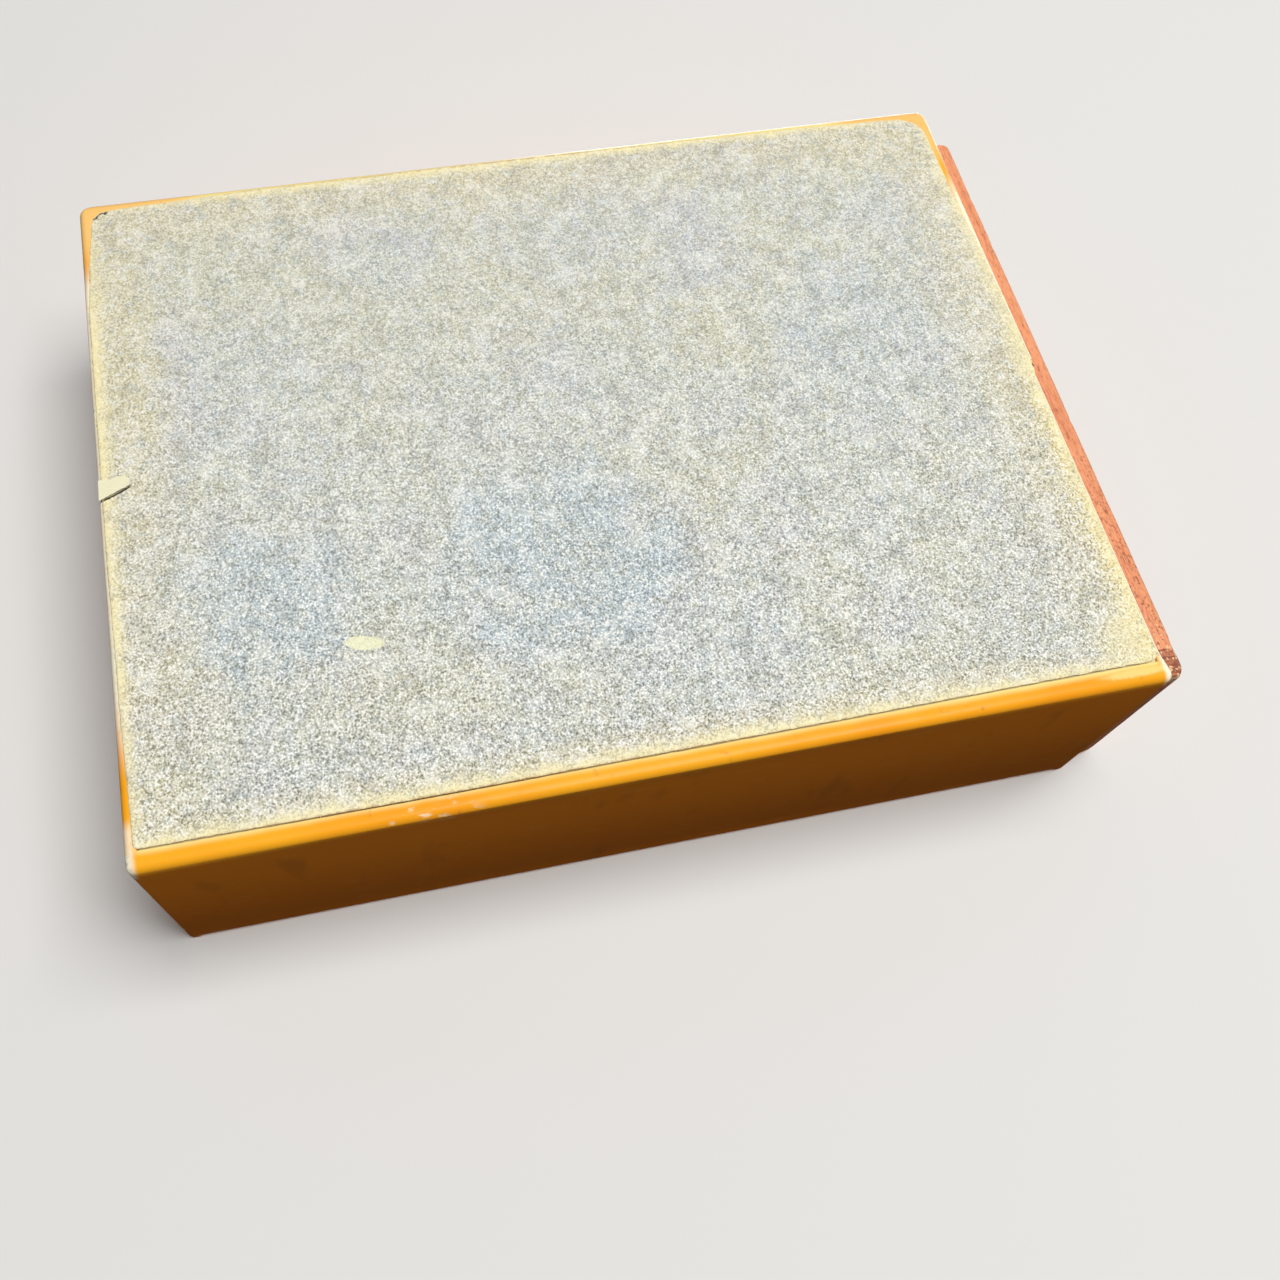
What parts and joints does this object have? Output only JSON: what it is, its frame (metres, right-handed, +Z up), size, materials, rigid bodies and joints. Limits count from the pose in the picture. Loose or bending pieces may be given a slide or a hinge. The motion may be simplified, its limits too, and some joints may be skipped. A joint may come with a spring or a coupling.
{
  "type": "hinged lid box",
  "caption": "Low enamelled sheet-metal box with a wooden carcass, a felt base and a hinged wooden lid that turns down over the front.",
  "frame": {"origin": "middle of the felt face that the box stands on", "axes": "+X to the right seen from the front, +Y to the hinges at the back, +Z up out of the base"},
  "size_m": [0.127, 0.1747, 0.0444],
  "materials": {
    "enamel": "glossy orange enamel, worn at the corners and along the rim",
    "carcass_wood": "plain planed wood, unvarnished",
    "lid_wood": "red-brown open-pored wood, thin worn oil finish",
    "dowel_wood": "plain dowel",
    "base_card": "cream-yellow card",
    "felt": "faded blue-grey flock, worn to its cream backing at the edges",
    "brass": "satin brass",
    "tack_brass": "dull brass"
  },
  "bodies": {
    "box": {"shell_half_left": "enamel", "shell_half_right": "enamel", "side_lining_left": "carcass_wood", "side_lining_right": "carcass_wood", "front_lining": "carcass_wood", "back_lining": "carcass_wood", "floor_board": "carcass_wood", "base_card": "base_card", "base_felt": "felt", "hinge_left_fixed_leaf": "brass", "hinge_left_pin": "brass", "hinge_left_fixed_screw_1": "brass", "hinge_left_fixed_screw_2": "brass", "hinge_right_fixed_leaf": "brass", "hinge_right_pin": "brass", "hinge_right_fixed_screw_1": "brass", "hinge_right_fixed_screw_2": "brass", "front_seam_tack_1": "tack_brass", "front_seam_tack_2": "tack_brass", "front_seam_tack_3": "tack_brass", "front_seam_tack_4": "tack_brass", "back_seam_tack_1": "tack_brass", "back_seam_tack_2": "tack_brass", "back_seam_tack_3": "tack_brass", "back_seam_tack_4": "tack_brass"},
    "lid": {"lid_board": "lid_wood", "lid_apron": "lid_wood", "apron_dowel_1": "dowel_wood", "apron_dowel_2": "dowel_wood", "apron_dowel_3": "dowel_wood", "hinge_left_moving_leaf": "brass", "hinge_left_moving_screw_1": "brass", "hinge_left_moving_screw_2": "brass", "hinge_right_moving_leaf": "brass", "hinge_right_moving_screw_1": "brass", "hinge_right_moving_screw_2": "brass"}
  },
  "joints": [
    {"name": "lid_hinge", "type": "hinge", "parent": "box", "child": "lid", "pos_m": [0, 0.083, 0.0368], "axis": [-1, 0, 0], "range_deg": [0, 100]}
  ]
}
